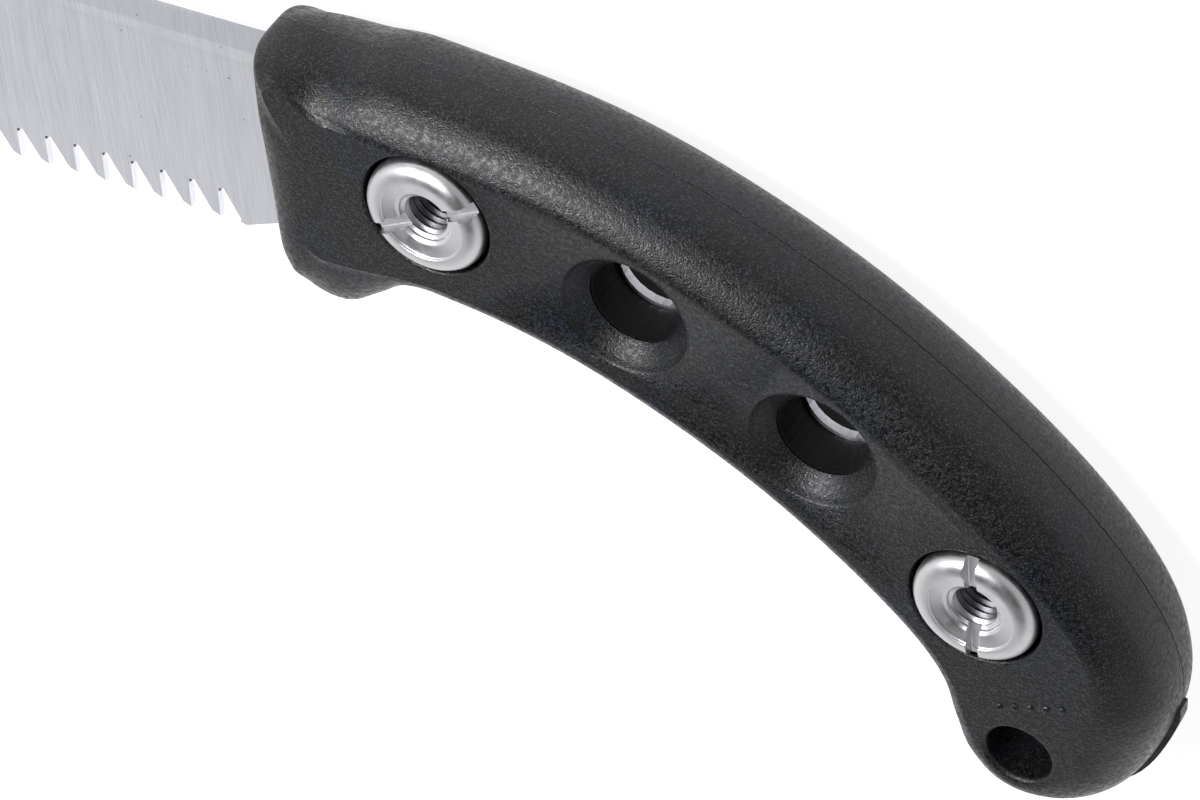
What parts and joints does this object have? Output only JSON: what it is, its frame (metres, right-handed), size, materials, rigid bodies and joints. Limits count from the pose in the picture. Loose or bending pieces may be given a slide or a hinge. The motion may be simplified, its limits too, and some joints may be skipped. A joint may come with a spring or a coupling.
{
  "type": "japanese pull saw",
  "caption": "Curved pull saw: hollow-ground steel blade with a full tang in a black moulded grip, clamped by slotted sleeve nuts and bolts, with open grip holes and a lanyard hole.",
  "frame": {"origin": "centre of the bounding box, at its lowest face: the saw lies on its two bolt heads", "axes": "+X along the line from the butt to the blade tip, +Z out of the nut side; the teeth face -Y at the heel"},
  "size_m": [0.531, 0.1128, 0.0267],
  "materials": {
    "saw_blade": "satin steel with fine grinding lines running across the blade",
    "rubber_grip": "fine spark-textured black elastomer",
    "handle_core": "black glass-filled nylon",
    "front_sleeve_nut": "satin nickel plate",
    "front_bolt": "satin nickel plate",
    "front_spring_washer": "phosphated spring steel",
    "rear_sleeve_nut": "satin nickel plate, scratched beside the slot",
    "rear_bolt": "satin nickel plate",
    "rear_spring_washer": "phosphated spring steel"
  },
  "bodies": {
    "handle": {"saw_blade": "saw_blade", "rubber_grip": "rubber_grip", "handle_core": "handle_core"},
    "front_nut": {"front_sleeve_nut": "front_sleeve_nut"},
    "rear_nut": {"rear_sleeve_nut": "rear_sleeve_nut"},
    "front_bolt_set": {"front_bolt": "front_bolt", "front_spring_washer": "front_spring_washer"},
    "rear_bolt_set": {"rear_bolt": "rear_bolt", "rear_spring_washer": "rear_spring_washer"}
  },
  "joints": [
    {"name": "front_nut_turn", "type": "hinge", "parent": "handle", "child": "front_nut", "pos_m": [-0.15338, -0.03528, 0.02328], "axis": [0, 0, 1], "continuous": true},
    {"name": "rear_nut_turn", "type": "hinge", "parent": "handle", "child": "rear_nut", "pos_m": [-0.23838, 0.01441, 0.02328], "axis": [0, 0, 1], "continuous": true},
    {"name": "front_bolt_turn", "type": "hinge", "parent": "handle", "child": "front_bolt_set", "pos_m": [-0.15338, -0.03528, 0.00328], "axis": [0, 0, 1], "continuous": true},
    {"name": "rear_bolt_turn", "type": "hinge", "parent": "handle", "child": "rear_bolt_set", "pos_m": [-0.23838, 0.01441, 0.00328], "axis": [0, 0, 1], "continuous": true}
  ]
}
